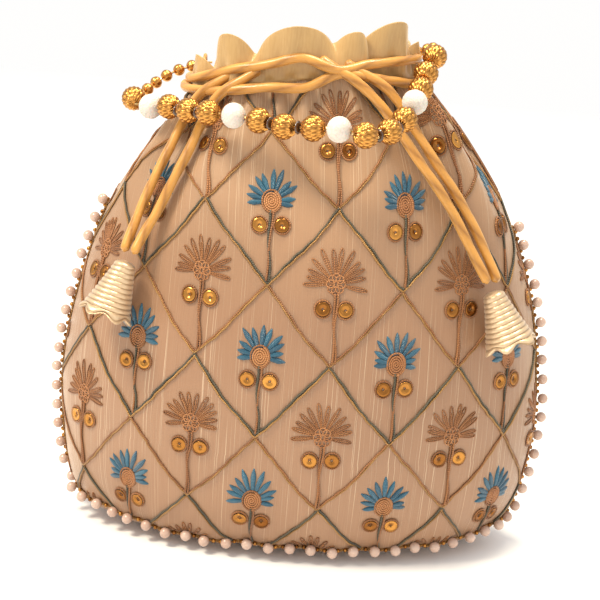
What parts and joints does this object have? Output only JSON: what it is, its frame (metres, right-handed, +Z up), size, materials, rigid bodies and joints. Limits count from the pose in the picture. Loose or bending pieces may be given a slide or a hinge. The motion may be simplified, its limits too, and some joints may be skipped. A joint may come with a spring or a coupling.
{
  "type": "drawstring_pouch",
  "caption": "Gathered fabric pouch with diamond trellis and flower embroidery, pearl edging, drawstrings with bell tassels and a beaded bail handle.",
  "frame": {"origin": "middle of the flat base, on the surface that the bag stands on", "axes": "+Z up from the base to the gathered mouth, +X to the right as seen from the front, +Y from the front panel to the back panel"},
  "size_m": [0.2114, 0.1116, 0.2188],
  "materials": {
    "silk": "slubbed dupion silk, semi-matt, with thread embroidery",
    "satin": "plain satin, soft sheen",
    "cord_satin": "twisted satin cord, glossy",
    "bead_gold": "antique gold plate, fluted",
    "bead_white": "white sugar-coated bead, frosted",
    "bead_black": "dark faceted glass spacer",
    "pearl": "imitation pearl, satin gloss",
    "tinsel": "pale gold metallic thread, wound",
    "wire": "bare stringing wire"
  },
  "bodies": {
    "bag": {"back_panel": "silk", "drawstring_left_end_a": "cord_satin", "drawstring_left_end_b": "cord_satin", "drawstring_left_loop": "cord_satin", "drawstring_right_end_a": "cord_satin", "drawstring_right_end_b": "cord_satin", "drawstring_right_loop": "cord_satin", "front_panel": "silk", "handle_eye_left": "cord_satin", "handle_eye_right": "cord_satin", "lining_bag": "satin", "mouth_frill": "satin", "pearl_edging": "pearl", "tassel_bell_left": "tinsel", "tassel_bell_right": "tinsel"},
    "handle": {"black_spacer_1": "bead_black", "black_spacer_2": "bead_black", "black_spacer_3": "bead_black", "black_spacer_4": "bead_black", "black_spacer_5": "bead_black", "black_spacer_6": "bead_black", "gold_bead_1": "bead_gold", "gold_bead_10": "bead_gold", "gold_bead_11": "bead_gold", "gold_bead_12": "bead_gold", "gold_bead_13": "bead_gold", "gold_bead_2": "bead_gold", "gold_bead_3": "bead_gold", "gold_bead_4": "bead_gold", "gold_bead_5": "bead_gold", "gold_bead_6": "bead_gold", "gold_bead_7": "bead_gold", "gold_bead_8": "bead_gold", "gold_bead_9": "bead_gold", "handle_wire": "wire", "small_gold_bead_1": "bead_gold", "small_gold_bead_2": "bead_gold", "small_gold_bead_3": "bead_gold", "small_gold_bead_4": "bead_gold", "small_gold_bead_5": "bead_gold", "small_gold_bead_6": "bead_gold", "small_gold_bead_7": "bead_gold", "small_gold_bead_8": "bead_gold", "small_gold_bead_9": "bead_gold", "white_bead_1": "bead_white", "white_bead_2": "bead_white", "white_bead_3": "bead_white", "white_bead_4": "bead_white"}
  },
  "joints": [
    {"name": "handle_swing", "type": "hinge", "parent": "bag", "child": "handle", "pos_m": [-0.049, 0.014, 0.1944], "axis": [-0.9913, -0.0119, -0.1314], "range_deg": [0, 180]}
  ]
}
